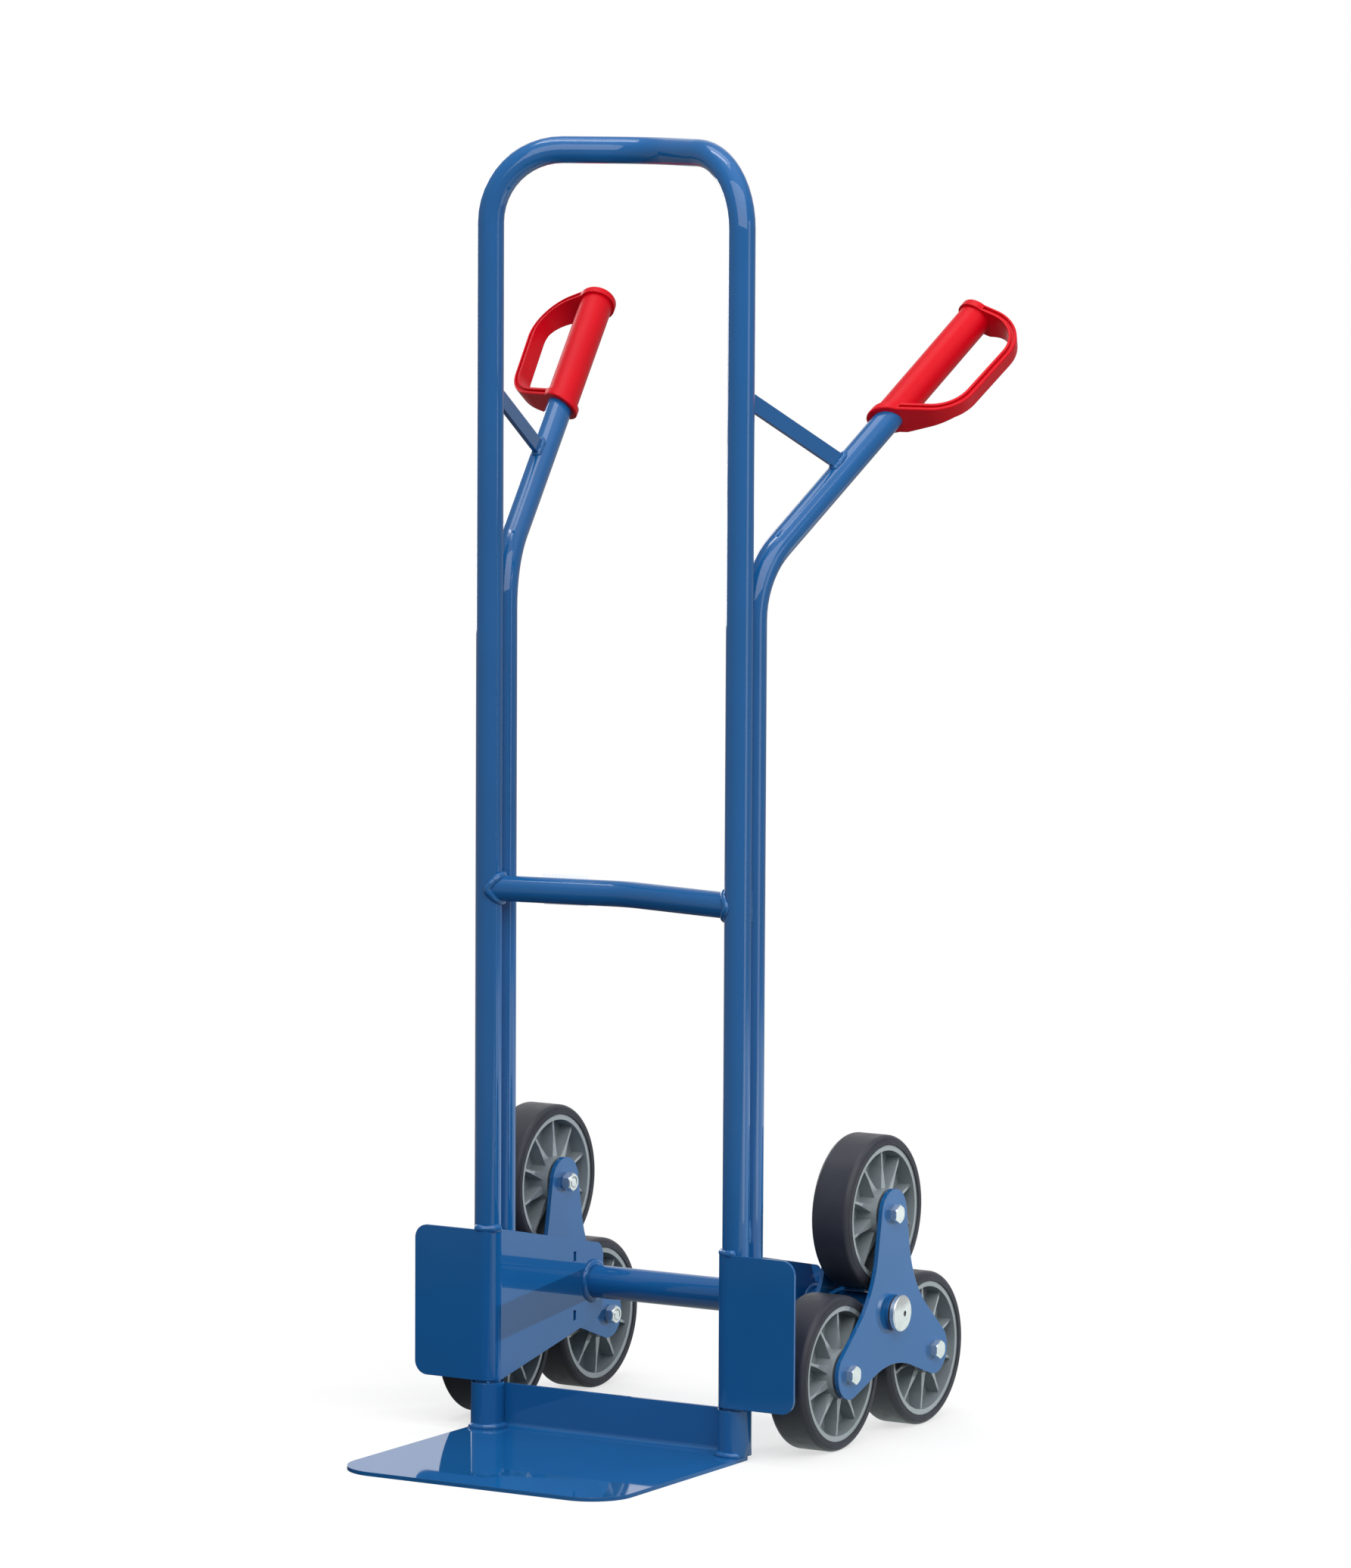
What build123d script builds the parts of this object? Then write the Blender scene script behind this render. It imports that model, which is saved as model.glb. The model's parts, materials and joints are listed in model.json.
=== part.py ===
from build123d import *
from math import cos, radians, sin, tan
import os

# Stair-climbing sack truck: a welded tube frame with two three-wheel stars.
#
# Frame of the model: +Z up, +Y towards the axle and the person pushing, X across. The origin is on
# the underside of the toe plate, midway between the uprights and below their axes.
# Right means +X, left means -X. Every right-hand piece is built first and mirrored for the left.

# ------------------------------------------------ driving sizes, mm and degrees
# Frame tube and hoop
truck_height = 1300.0
tube_diameter = 26.9
tube_wall = 2.3
upright_spacing = 288.0  # between the axes of the two uprights
hoop_corner_radius = 72.0
hoop_bow = 62.0  # setback of the middle of the top bar
bow_bend_radius = 80.0

# Crossbar
crossbar_diameter = 26.0
crossbar_height = 550.0
crossbar_bow = 28.5

# Handle tubes, behind the uprights
knee_height = 874.5  # where the two straight runs of a handle tube would meet
knee_bend_radius = 90.0
handle_tilt = 52.5  # from the vertical
handle_splay = 14.4  # outwards, seen from above
handle_tube_overlap = 56.0  # below the bracket's top edge

# Struts
strut_width = 16.0
strut_thickness = 5.0
strut_top_height = 1053.0
strut_foot_distance = 165.0  # from the knee, along the handle

# Grips
grip_distance = 237.0  # from the knee to the grip's mouth, along the handle's axis
grip_length = 167.5  # along the handle's axis
grip_cap = 5.0  # closed end beyond the tube
sleeve_diameter = 33.5
flange_diameter = 39.0
guard_turn = 25.0  # the guard's plane, below the horizontal
guard_reach_top = 67.0
guard_reach_bottom = 63.5
guard_leg_angle = 27.5  # climb of the lower leg, which is one slab with the mouth's flange
guard_thickness = 8.3
guard_top_radius = 43.0
guard_bottom_radius = 50.0
guard_face = 17.8  # the guard's front face above the handle's axis
guard_depth = 18.0  # along the straight outer run
guard_root_depth = 35.0  # where it leaves the sleeve
guard_groove_width = 3.2
guard_groove_depth = 2.6
guard_groove_start = 9.0  # from the handle's axis
grip_edge_radius = 1.5

# Toe plate and sockets
toe_plate_thickness = 4.0
toe_plate_reach = 268.0
toe_plate_overhang = 15.0  # beyond the upright's axis, to each side
toe_corner_radius = 45.0
toe_rear_chamfer = 13.0
flange_setback = 9.0  # of the rear flange's front face
flange_height = 48.0
flange_bend_radius = 5.0
socket_wall = 3.2
socket_clearance = 0.2
socket_height = 46.0
socket_foot_chamfer = 13.0

# Side brackets, one bent sheet each
bracket_sheet = 3.0
bracket_gap = 3.0  # above the socket
bracket_height = 153.0
wing_reach = 76.0  # beyond the upright's axis
wing_corner_radius = 14.0
side_plate_rear_half_height = 36.5
side_plate_overhang = 19.5  # behind the axle
side_plate_corner_radius = 15.0
slot_length = 10.0
slot_width = 6.5
slot_offset = 30.3  # above and below the axle
slot_lead = 37.0  # in front of the axle

# Axle
axle_setback = 177.5
axle_tube_diameter = 33.7
axle_tube_wall = 2.6
axle_diameter = 20.0
ring_length = 15.0
end_play = 0.3
axle_running_clearance = 0.05  # radial
end_washer_diameter = 36.5
end_washer_thickness = 5.9
end_washer_chamfer = 0.8
end_screw_head_diameter = 35.5
end_screw_head_height = 2.7
end_screw_thread = 10.0
end_screw_length = 25.0
end_screw_socket = 5.5
end_screw_socket_depth = 1.8

# Stars
wheel_offset = 48.5  # middle of a wheel, outside the upright's axis
star_radius = 100.0
star_plate_thickness = 4.5
star_plate_gap = 54.0
arm_tip_radius = 25.0
arm_root_radius = 42.8  # of the circle at the middle that the arms' sides touch
arm_fillet_radius = 110.0
star_hub_diameter = 36.0
star_hub_bore = 28.0
star_hub_inner_overhang = 10.5
star_hub_outer_overhang = 3.2
bush_flange_thickness = 1.0
bush_flange_diameter = 35.0
bush_length = 22.0
bolt_diameter = 10.0
hex_across_flats = 17.0
hex_corner_chamfer = 1.0
bolt_head_height = 7.0
nut_height = 10.0
nut_chamfer = 1.6
nut_recess_diameter = 12.4
nut_recess_depth = 1.4
bolt_end_chamfer = 0.8
wheel_sleeve_diameter = 16.0

# Wheels
wheel_diameter = 156.0
tyre_width = 43.0
tyre_shoulder_radius = 6.0
tyre_groove_count = 4
tyre_groove_pitch = 1.9
tyre_groove_width = 0.9  # half round
rim_diameter = 136.0
rim_width = 40.0
rim_ring_thickness = 5.5
web_thickness = 5.0
wheel_hub_diameter = 50.0
wheel_hub_width = 48.0
wheel_hub_lip = 2.6  # round the recess in each face of the hub
wheel_hub_boss_wall = 2.5  # round the bearing
wheel_hub_recess = 2.0
bearing_diameter = 26.0
wheel_running_clearance = 0.05  # radial
rib_count = 10
rib_thickness = 3.0
rib_root_thickness = 8.5
rib_flare_radius = 46.0  # where a rib starts to thicken towards the hub
rib_outer_drop = 4.0  # below the rim's face, at the ring
rib_inner_drop = 1.5  # below the rim's face, at the hub
wheel_names = ["top", "front", "rear"]  # in the order of the star's arms

# Blank plate on the crossbar
blank_plate_width = 50.0
blank_plate_height = 31.0
blank_plate_thickness = 1.0
blank_plate_corner = 3.0
blank_plate_offset = 68.0  # its middle, left of the truck's middle

# ------------------------------------------------ places worked out from them
tube_radius = tube_diameter / 2
upright_x = upright_spacing / 2
top_bar_height = truck_height - tube_radius
handle_y = tube_diameter
socket_radius = tube_radius + socket_clearance + socket_wall
socket_top = toe_plate_thickness + socket_height
bracket_bottom = socket_top + bracket_gap
bracket_top = bracket_bottom + bracket_height
wrap_radius = tube_radius + bracket_sheet
side_plate_face = upright_x - wrap_radius  # its face towards the truck's middle
side_plate_rear = axle_setback + side_plate_overhang
toe_plate_half_width = upright_x + toe_plate_overhang
axle_tube_radius = axle_tube_diameter / 2
axle_radius = axle_diameter / 2
wheel_radius = wheel_diameter / 2
axle_z = wheel_radius + star_radius / 2
wheel_x = upright_x + wheel_offset
inner_plate_x = wheel_x - star_plate_gap / 2 - star_plate_thickness
outer_plate_x = wheel_x + star_plate_gap / 2
star_hub_start = inner_plate_x - star_hub_inner_overhang
star_hub_end = outer_plate_x + star_plate_thickness + star_hub_outer_overhang
axle_tube_end = star_hub_start - bush_flange_thickness - end_play
axle_end = star_hub_end + bush_flange_thickness + end_play
guard_face_low = guard_face - guard_root_depth

# Directions of the right-hand handle: along it, out from it in the guard's plane, and square to that plane
tilt, splay, turn = radians(handle_tilt), radians(handle_splay), radians(guard_turn)
along_handle = Vector(sin(tilt) * sin(splay), sin(tilt) * cos(splay), cos(tilt))
level_out = Vector(cos(splay), -sin(splay), 0)
guard_out = level_out * cos(turn) - level_out.cross(along_handle) * sin(turn)
guard_normal = guard_out.cross(along_handle)
knee = Vector(upright_x, handle_y, knee_height)
grip_mouth = knee + along_handle * grip_distance
handle_end = knee + along_handle * (grip_distance + grip_length - grip_cap)

axle_plane = Plane(origin=(0, axle_setback, axle_z), x_dir=(0, 1, 0), z_dir=(1, 0, 0))
arm_angles = [90, 210, 330]  # from +Y towards +Z, the first arm points up

os.makedirs("parts", exist_ok=True)


def save(part, name):
    """Labels a finished piece and writes it."""
    part.label = name
    export_step(part, f"parts/{name}.step")


def save_pair(part, name):
    """Writes a right-hand piece and its mirror image."""
    with BuildPart() as twin:
        mirror(part, about=Plane.YZ)
    save(part, f"{name}_right")
    save(twin.part, f"{name}_left")


def bent_tube(points, bend_radii, outside, wall):
    """A tube along straight runs joined by round bends."""
    with BuildPart() as tube:
        with BuildLine() as route:
            FilletPolyline(*points, radius=bend_radii)
        with BuildSketch(Plane(origin=route.line @ 0, z_dir=route.line % 0)):
            Circle(outside)
            Circle(outside - wall, mode=Mode.SUBTRACT)
        sweep(path=route.line)
    return tube.part


def plane_across(x):
    """The plane at x square to the axle, centred on the axle, with +Y and +Z as its axes."""
    return axle_plane.offset(x)


# ------------------------------------------------ hoop, crossbar, handle tubes
with BuildPart() as hoop_tube:
    add(
        bent_tube(
            [
                (-upright_x, 0, toe_plate_thickness),
                (-upright_x, 0, top_bar_height),
                (0, hoop_bow, top_bar_height),
                (upright_x, 0, top_bar_height),
                (upright_x, 0, toe_plate_thickness),
            ],
            [hoop_corner_radius, bow_bend_radius, hoop_corner_radius],
            tube_radius,
            tube_wall,
        )
    )
save(hoop_tube.part, "hoop_tube")

with BuildPart() as crossbar:
    add(
        bent_tube(
            [
                (-upright_x, 0, crossbar_height),
                (0, crossbar_bow, crossbar_height),
                (upright_x, 0, crossbar_height),
            ],
            [bow_bend_radius],
            crossbar_diameter / 2,
            tube_wall,
        )
    )
    # its ends are coped to the uprights and clear the handle tubes behind them
    with Locations((0, 0, crossbar_height), (0, handle_y, crossbar_height)):
        with GridLocations(upright_spacing, 0, 2, 1):
            Cylinder(tube_radius, 2 * crossbar_diameter, mode=Mode.SUBTRACT)
save(crossbar.part, "crossbar")

with BuildPart() as handle_tube:
    add(
        bent_tube(
            [(upright_x, handle_y, bracket_top - handle_tube_overlap), knee, handle_end],
            [knee_bend_radius],
            tube_radius,
            tube_wall,
        )
    )
save_pair(handle_tube.part, "handle_tube")

# ------------------------------------------------ struts: flat bar, coped to both tubes
strut_start = Vector(upright_x, 0, strut_top_height)
strut_end = knee + along_handle * strut_foot_distance
strut_run = strut_end - strut_start
strut_side = strut_run.cross(Vector(0, 0, 1)).normalized()
with BuildPart() as strut:
    with BuildSketch(Plane(origin=strut_start, x_dir=strut_side, z_dir=strut_run)):
        Rectangle(strut_thickness, strut_width)
    extrude(amount=strut_run.length)
    with BuildSketch(Plane.XY.offset(strut_top_height - 3 * strut_width)):
        with Locations((upright_x, 0)):
            Circle(tube_radius)
    extrude(amount=6 * strut_width, mode=Mode.SUBTRACT)
    with BuildSketch(Plane(origin=strut_end - along_handle * 3 * strut_width, z_dir=along_handle)):
        Circle(tube_radius)
    extrude(amount=6 * strut_width, mode=Mode.SUBTRACT)
save_pair(strut.part, "strut")

# ------------------------------------------------ grips: sleeve, end flanges and hand guard
sleeve_plane = Plane(origin=grip_mouth, x_dir=guard_out, z_dir=along_handle)
guard_plane = Plane(origin=grip_mouth, x_dir=guard_out, z_dir=guard_normal)
section_plane = Plane(origin=grip_mouth, x_dir=guard_out, z_dir=-along_handle)
flange_radius = flange_diameter / 2
sleeve_radius = sleeve_diameter / 2
leg_slope = tan(radians(guard_leg_angle))


def guard_outline(inset, start, floor):
    """The grip's outline in the guard's plane, inset all round and cut off at a start beside the axis."""
    corner = guard_reach_bottom - inset
    leg_inset = inset / cos(radians(guard_leg_angle))
    leg_start = (start, start * leg_slope + leg_inset)
    with BuildSketch(guard_plane.offset(floor)) as outline:
        with BuildLine():
            FilletPolyline(
                (start, grip_length - inset),
                (guard_reach_top - inset, grip_length - inset),
                (corner, corner * leg_slope + leg_inset),
                leg_start,
                radius=[guard_top_radius - inset, guard_bottom_radius - inset],
            )
            Line(leg_start, (start, grip_length - inset))
        make_face()
    return outline.sketch


def sleeve_prism(sketch):
    """A shape seen along the handle, run through the whole grip and trimmed to its outline."""
    with BuildPart() as prism:
        extrude(sketch, amount=flange_diameter)
        extrude(sketch, amount=-grip_length)
        extrude(
            guard_outline(0, -flange_diameter, -flange_diameter),
            amount=2 * flange_diameter,
            mode=Mode.INTERSECT,
        )
    return prism.part


groove_inset = (guard_thickness - guard_groove_width) / 2
groove_floor = guard_face - guard_groove_depth
with BuildPart() as guard_groove:
    extrude(guard_outline(groove_inset, guard_groove_start, groove_floor), amount=guard_groove_depth)
    extrude(
        guard_outline(groove_inset + guard_groove_width, guard_groove_start, groove_floor),
        amount=guard_groove_depth,
        mode=Mode.SUBTRACT,
    )

# seen along the handle the grip is a round flange that runs out into the guard's band
with BuildSketch(section_plane) as grip_plan:
    with BuildLine():
        Polyline(
            (0, guard_face),
            (guard_reach_top, guard_face),
            (guard_reach_top, guard_face - guard_depth),
            (guard_reach_bottom - guard_thickness, guard_face - guard_depth),
            (sleeve_radius, guard_face_low),
            (0, guard_face_low),
            close=True,
        )
    make_face()
    Circle(flange_radius)

with BuildSketch(section_plane) as sleeve_plan:
    Circle(sleeve_radius)

with BuildPart() as grip:
    add(sleeve_prism(grip_plan.sketch))
    fillet(grip.edges(), grip_edge_radius)
    extrude(
        guard_outline(guard_thickness, -flange_diameter, -flange_diameter),
        amount=2 * flange_diameter,
        mode=Mode.SUBTRACT,
    )
    add(guard_groove.part, mode=Mode.SUBTRACT)
    add(sleeve_prism(sleeve_plan.sketch))
    with BuildSketch(sleeve_plane.offset(-flange_radius)):
        Circle(tube_radius)
    extrude(amount=flange_radius + grip_length - grip_cap, mode=Mode.SUBTRACT)
save_pair(grip.part, "grip")

# ------------------------------------------------ toe plate with its rear flange, and sockets
flange_rear = flange_setback + toe_plate_thickness
with BuildPart() as toe_plate:
    with BuildSketch(Plane.YZ.offset(-toe_plate_half_width)):
        with BuildLine():
            FilletPolyline(
                (-toe_plate_reach, 0),
                (flange_rear, 0),
                (flange_rear, flange_height),
                (flange_setback, flange_height),
                (flange_setback, toe_plate_thickness),
                (-toe_plate_reach, toe_plate_thickness),
                radius=[flange_bend_radius + toe_plate_thickness, 0, 0, flange_bend_radius],
            )
            Line((-toe_plate_reach, toe_plate_thickness), (-toe_plate_reach, 0))
        make_face()
    extrude(amount=2 * toe_plate_half_width)
    front_edges = toe_plate.edges().filter_by(Axis.Z).group_by(Axis.Y)[0]
    fillet(front_edges, toe_corner_radius)
    # the flange stands between the sockets only, coped to them
    for side in (-1, 1):
        with BuildSketch(Plane.XY.offset(toe_plate_thickness)):
            with Locations((side * upright_x, 0)):
                Circle(socket_radius)
            with Locations((side * (upright_x + toe_plate_overhang), 0)):
                Rectangle(2 * toe_plate_overhang, 4 * socket_radius)
        extrude(amount=flange_height, mode=Mode.SUBTRACT)
        # rear corner cut away beside the socket
        with BuildSketch(Plane.XY):
            with BuildLine():
                Polyline(
                    (side * toe_plate_half_width, flange_rear - toe_rear_chamfer),
                    (side * (toe_plate_half_width - toe_rear_chamfer), flange_rear),
                    (side * toe_plate_half_width, flange_rear),
                    close=True,
                )
            make_face()
        extrude(amount=toe_plate_thickness, mode=Mode.SUBTRACT)
save(toe_plate.part, "toe_plate")

with BuildPart() as socket:
    with BuildSketch(Plane.XY.offset(toe_plate_thickness)):
        with Locations((upright_x, 0)):
            Circle(socket_radius)
            Circle(tube_radius + socket_clearance, mode=Mode.SUBTRACT)
    extrude(amount=socket_height)
    # the foot is cut back to the plate's edge
    with BuildSketch(Plane.XZ.offset(-socket_radius)):
        with BuildLine():
            Polyline(
                (toe_plate_half_width, toe_plate_thickness),
                (upright_x + socket_radius, toe_plate_thickness + socket_foot_chamfer),
                (upright_x + socket_radius, toe_plate_thickness),
                close=True,
            )
        make_face()
    extrude(amount=2 * socket_radius, mode=Mode.SUBTRACT)
save_pair(socket.part, "socket")

# ------------------------------------------------ side brackets, each bent from one sheet
with BuildPart() as bracket:
    with BuildSketch(Plane.XY.offset(bracket_bottom)):
        with Locations((upright_x, 0)):
            Circle(wrap_radius)
            Circle(tube_radius, mode=Mode.SUBTRACT)
        with Locations((upright_x + wrap_radius, 0)):
            Rectangle(2 * wrap_radius, 2 * wrap_radius, mode=Mode.SUBTRACT)
        with Locations((upright_x, wrap_radius)):
            Rectangle(2 * wrap_radius, 2 * wrap_radius, mode=Mode.SUBTRACT)
        with Locations((upright_x, -wrap_radius)):
            Rectangle(wing_reach, bracket_sheet, align=(Align.MIN, Align.MIN))
        with Locations((side_plate_face, 0)):
            Rectangle(bracket_sheet, side_plate_rear, align=(Align.MIN, Align.MIN))
    extrude(amount=bracket_height)
    wing_corners = bracket.edges().filter_by(Axis.Y).group_by(Axis.X)[-1]
    fillet(wing_corners, wing_corner_radius)
    # the side plate tapers to the axle, and has the axle tube's hole and two slots
    with BuildSketch(Plane.YZ.offset(side_plate_face)):
        with Locations((0, axle_z)):
            Rectangle(side_plate_rear, 2 * bracket_height, align=(Align.MIN, Align.CENTER))
        with BuildLine():
            FilletPolyline(
                (0, bracket_top),
                (side_plate_rear, axle_z + side_plate_rear_half_height),
                (side_plate_rear, axle_z - side_plate_rear_half_height),
                (0, bracket_bottom),
                radius=side_plate_corner_radius,
            )
            Line((0, bracket_bottom), (0, bracket_top))
        make_face(mode=Mode.SUBTRACT)
        with Locations((axle_setback, axle_z)):
            Circle(axle_tube_radius)
        with Locations(
            (axle_setback - slot_lead, axle_z + slot_offset),
            (axle_setback - slot_lead, axle_z - slot_offset),
        ):
            Rectangle(slot_width, slot_length)
    extrude(amount=bracket_sheet, mode=Mode.SUBTRACT)
save_pair(bracket.part, "bracket")

# ------------------------------------------------ axle tube, rings, shaft and its ends
with BuildPart() as axle_tube:
    with BuildSketch(plane_across(-axle_tube_end)):
        Circle(axle_tube_radius)
        Circle(axle_tube_radius - axle_tube_wall, mode=Mode.SUBTRACT)
    extrude(amount=2 * axle_tube_end)
save(axle_tube.part, "axle_tube")

with BuildPart() as axle_rings:
    with BuildSketch(plane_across(-axle_tube_end), plane_across(axle_tube_end - ring_length)):
        Circle(axle_tube_radius - axle_tube_wall)
        Circle(axle_radius, mode=Mode.SUBTRACT)
    extrude(amount=ring_length)
save(axle_rings.part, "axle_rings")

with BuildPart() as axle_shaft:
    with BuildSketch(plane_across(-axle_end)):
        Circle(axle_radius)
    extrude(amount=2 * axle_end)
    with BuildSketch(plane_across(-axle_end), plane_across(axle_end - end_screw_length)):
        Circle(end_screw_thread / 2)
    extrude(amount=end_screw_length, mode=Mode.SUBTRACT)
save(axle_shaft.part, "axle_shaft")

with BuildPart() as end_washer:
    with BuildSketch(plane_across(axle_end)):
        Circle(end_washer_diameter / 2)
        Circle(end_screw_thread / 2, mode=Mode.SUBTRACT)
    extrude(amount=end_washer_thickness)
    washer_rims = end_washer.edges().filter_by(GeomType.CIRCLE).group_by(SortBy.RADIUS)[-1]
    chamfer(washer_rims, end_washer_chamfer)
save_pair(end_washer.part, "end_washer")

# the head is a low dome: a spherical cap of its own height and diameter
head_base = axle_end + end_washer_thickness
head_radius = end_screw_head_diameter / 2
dome_radius = (head_radius**2 + end_screw_head_height**2) / (2 * end_screw_head_height)
with BuildPart() as end_screw:
    with BuildSketch(Plane(origin=(head_base, axle_setback, axle_z), x_dir=(1, 0, 0), z_dir=(0, -1, 0))):
        with BuildLine():
            Line((0, head_radius), (0, 0))
            Line((0, 0), (end_screw_head_height, 0))
            RadiusArc((end_screw_head_height, 0), (0, head_radius), -dome_radius)
        make_face()
    revolve(axis=Axis((0, axle_setback, axle_z), (1, 0, 0)))
    with BuildSketch(plane_across(axle_end - end_screw_length)):
        Circle(end_screw_thread / 2)
    extrude(amount=end_screw_length + end_washer_thickness)
    with BuildSketch(plane_across(head_base + end_screw_head_height - end_screw_socket_depth)):
        RegularPolygon(end_screw_socket / 2, 6, major_radius=False)
    extrude(amount=end_screw_socket_depth, mode=Mode.SUBTRACT)
save_pair(end_screw.part, "end_screw")

# ------------------------------------------------ star plates, hub tube and bushes
with BuildSketch() as star_arm:
    Circle(arm_root_radius)
    with Locations((star_radius, 0)):
        Circle(arm_tip_radius)
    make_hull()
    with Locations((star_radius, 0)):
        Circle(bolt_diameter / 2, mode=Mode.SUBTRACT)

with BuildSketch() as star_outline:
    with PolarLocations(0, len(arm_angles), start_angle=arm_angles[0]):
        add(star_arm.sketch)
    valleys = star_outline.vertices().group_by(SortBy.DISTANCE)[0]
    fillet(valleys, arm_fillet_radius)
    Circle(star_hub_diameter / 2, mode=Mode.SUBTRACT)


def star_plate(x):
    """One star plate, its inner face at x."""
    with BuildPart() as plate:
        with BuildSketch(plane_across(x)):
            add(star_outline.sketch)
        extrude(amount=star_plate_thickness)
    return plate.part


save_pair(star_plate(inner_plate_x), "star_plate_inner")
save_pair(star_plate(outer_plate_x), "star_plate_outer")

with BuildPart() as star_hub:
    with BuildSketch(plane_across(star_hub_start)):
        Circle(star_hub_diameter / 2)
        Circle(star_hub_bore / 2, mode=Mode.SUBTRACT)
    extrude(amount=star_hub_end - star_hub_start)
save_pair(star_hub.part, "star_hub")

with BuildPart() as star_bushes:
    with BuildSketch(plane_across(star_hub_start), plane_across(star_hub_end - bush_length)):
        Circle(star_hub_bore / 2)
    extrude(amount=bush_length)
    with BuildSketch(plane_across(star_hub_start - bush_flange_thickness), plane_across(star_hub_end)):
        Circle(bush_flange_diameter / 2)
    extrude(amount=bush_flange_thickness)
    with BuildSketch(plane_across(star_hub_start - bush_flange_thickness)):
        Circle(axle_radius + axle_running_clearance)
    extrude(amount=star_hub_end - star_hub_start + 2 * bush_flange_thickness, mode=Mode.SUBTRACT)
save_pair(star_bushes.part, "star_bushes")

# ------------------------------------------------ wheel bolts, nuts and sleeves, three to a star
bolt_head_x = outer_plate_x + star_plate_thickness
bolt_end_x = inner_plate_x - nut_height
sleeve_start = inner_plate_x + star_plate_thickness
hex_across_corners = hex_across_flats / cos(radians(30))


def discs(x, diameter):
    """Discs at the three wheel places, on the plane at x."""
    with BuildSketch(plane_across(x)) as group:
        with PolarLocations(star_radius, len(arm_angles), start_angle=arm_angles[0]):
            Circle(diameter / 2)
    return group.sketch


def hexagons(x):
    """Hexagons at the three wheel places, on the plane at x."""
    with BuildSketch(plane_across(x)) as group:
        with PolarLocations(star_radius, len(arm_angles), start_angle=arm_angles[0]):
            RegularPolygon(hex_across_flats / 2, 6, major_radius=False)
    return group.sketch


with BuildPart() as wheel_bolts:
    extrude(discs(bolt_head_x, hex_across_corners), amount=bolt_head_height)
    chamfer(wheel_bolts.edges().group_by(Axis.X)[-1], hex_corner_chamfer)
    extrude(hexagons(bolt_head_x), amount=bolt_head_height, mode=Mode.INTERSECT)
    extrude(discs(bolt_end_x, bolt_diameter), amount=bolt_head_x - bolt_end_x)
    chamfer(wheel_bolts.edges().group_by(Axis.X)[0], bolt_end_chamfer)
save_pair(wheel_bolts.part, "wheel_bolts")

with BuildPart() as wheel_nuts:
    extrude(discs(inner_plate_x, hex_across_corners), amount=-nut_height)
    chamfer(wheel_nuts.edges().filter_by(GeomType.CIRCLE), nut_chamfer)
    extrude(hexagons(inner_plate_x), amount=-nut_height, mode=Mode.INTERSECT)
    extrude(discs(bolt_end_x, nut_recess_diameter), amount=nut_recess_depth, mode=Mode.SUBTRACT)
    extrude(discs(bolt_end_x, bolt_diameter), amount=nut_height, mode=Mode.SUBTRACT)
save_pair(wheel_nuts.part, "wheel_nuts")

with BuildPart() as wheel_sleeves:
    extrude(discs(sleeve_start, wheel_sleeve_diameter), amount=star_plate_gap)
    extrude(discs(sleeve_start, bolt_diameter), amount=star_plate_gap, mode=Mode.SUBTRACT)
save_pair(wheel_sleeves.part, "wheel_sleeves")

# ------------------------------------------------ a wheel, its axis along X and its middle at the origin
rim_half_width = rim_width / 2
rim_radius = rim_diameter / 2
rim_barrel_bore = rim_radius - rim_ring_thickness
wheel_hub_radius = wheel_hub_diameter / 2
bearing_radius = bearing_diameter / 2
bearing_length = star_plate_gap - 2 * end_play

with BuildSketch() as rib:
    with BuildLine():
        Polyline(
            ((bearing_radius + wheel_hub_radius) / 2, 0),
            ((bearing_radius + wheel_hub_radius) / 2, rib_root_thickness / 2),
            (wheel_hub_radius, rib_root_thickness / 2),
            (rib_flare_radius, rib_thickness / 2),
            ((rim_barrel_bore + rim_radius) / 2, rib_thickness / 2),
            ((rim_barrel_bore + rim_radius) / 2, 0),
            close=True,
        )
    make_face()
    mirror(about=Plane.XZ)

# half sections stand in the XY plane: X across the wheel, Y its radius
with BuildPart() as rim:
    with BuildSketch(Plane.YZ.offset(-rim_half_width)):
        with PolarLocations(0, rib_count, start_angle=arm_angles[0]):
            add(rib.sketch)
    extrude(amount=rim_width)
    # the ribs' edges slope down from the hub to the barrel
    with BuildSketch(Plane.XY):
        with BuildLine():
            Polyline(
                (rim_half_width - rib_inner_drop, wheel_hub_radius),
                (rim_half_width - rib_outer_drop, rim_barrel_bore),
                (rim_half_width, rim_barrel_bore),
                (rim_half_width, wheel_hub_radius),
                close=True,
            )
        make_face()
        mirror(about=Plane.YZ)
    revolve(axis=Axis.X, mode=Mode.SUBTRACT)
    with BuildSketch(Plane.XY):
        with Locations((0, rim_barrel_bore)):
            Rectangle(rim_width, rim_ring_thickness, align=(Align.CENTER, Align.MIN))
        with Locations((0, bearing_radius)):
            Rectangle(wheel_hub_width, wheel_hub_radius - bearing_radius, align=(Align.CENTER, Align.MIN))
            Rectangle(web_thickness, rim_radius - bearing_radius, align=(Align.CENTER, Align.MIN))
    revolve(axis=Axis.X)
    with BuildSketch(Plane.XY):
        with Locations((wheel_hub_width / 2, wheel_hub_radius - wheel_hub_lip)):
            Rectangle(
                wheel_hub_recess,
                wheel_hub_radius - wheel_hub_lip - bearing_radius - wheel_hub_boss_wall,
                align=(Align.MAX, Align.MAX),
            )
        mirror(about=Plane.YZ)
    revolve(axis=Axis.X, mode=Mode.SUBTRACT)

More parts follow.
